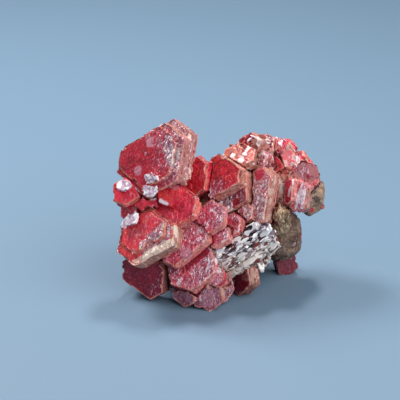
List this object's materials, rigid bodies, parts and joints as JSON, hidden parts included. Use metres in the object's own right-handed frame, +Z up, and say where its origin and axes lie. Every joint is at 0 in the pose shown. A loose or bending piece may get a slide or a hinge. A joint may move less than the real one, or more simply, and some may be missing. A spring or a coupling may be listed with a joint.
{
  "type": "vanadinite specimen",
  "caption": "Cluster of tabular six-sided red crystals stacked like roof tiles on an iron-stained matrix; stands free on its flat underside.",
  "frame": {"origin": "on the surface the specimen rests on, under the middle of its bounding box", "axes": "+Z up, -Y towards the display side that the large crystals face, +X to the viewer's right"},
  "size_m": [0.0358, 0.0246, 0.0292],
  "materials": {
    "crystal_red": "deep red vanadinite, resinous gloss",
    "crystal_bright": "bright orange-red vanadinite, resinous gloss",
    "crystal_dark": "dark red vanadinite, resinous gloss",
    "crystal_rose": "rose-red vanadinite with a pale frosted sheen",
    "crystal_mauve": "mauve vanadinite, dull and pitted",
    "crystal_tan": "tan and salmon vanadinite prism faces, layered",
    "metallic_ridge": "bright metallic crust on crystal edges",
    "olive_patch": "olive-brown granular crust, weakly metallic",
    "matrix": "rough iron-stained beige rock",
    "flake": "pale lilac, pearly"
  },
  "bodies": {
    "root": {"big_crystal": "crystal_red", "notch_crystal": "crystal_bright", "left_edge_crystal": "crystal_bright", "inner_left_crystal": "crystal_bright", "left_front_crystal": "crystal_bright", "left_shelf_crystal": "crystal_bright", "left_foot_crystal": "crystal_dark", "upper_crystal": "crystal_red", "centre_crystal": "crystal_rose", "centre_right_crystal": "crystal_rose", "centre_low_crystal": "crystal_rose", "long_crystal": "crystal_rose", "front_crystal": "crystal_rose", "tall_crystal": "crystal_rose", "right_crystal": "crystal_rose", "knob_crystal": "crystal_rose", "crown_left_crystal": "crystal_tan", "crown_tip_crystal": "crystal_dark", "crown_middle_crystal": "crystal_rose", "crown_red_crystal": "crystal_bright", "crown_right_crystal": "crystal_rose", "metallic_ridge": "metallic_ridge", "base_front_crystal": "crystal_mauve", "under_ridge_crystal": "crystal_dark", "low_right_crystal": "crystal_mauve", "deep_left_crystal": "crystal_red", "deep_centre_crystal": "crystal_red", "deep_right_crystal": "crystal_tan", "back_big_crystal": "crystal_red", "back_upper_left_crystal": "crystal_rose", "back_upper_crystal": "crystal_bright", "back_right_crystal": "crystal_rose", "back_low_crystal": "crystal_mauve", "back_left_crystal": "crystal_dark", "upper_flake": "flake", "middle_flake": "flake", "edge_flake": "flake", "shelf_flake": "flake", "olive_patch": "olive_patch", "matrix": "matrix"}
  },
  "joints": []
}
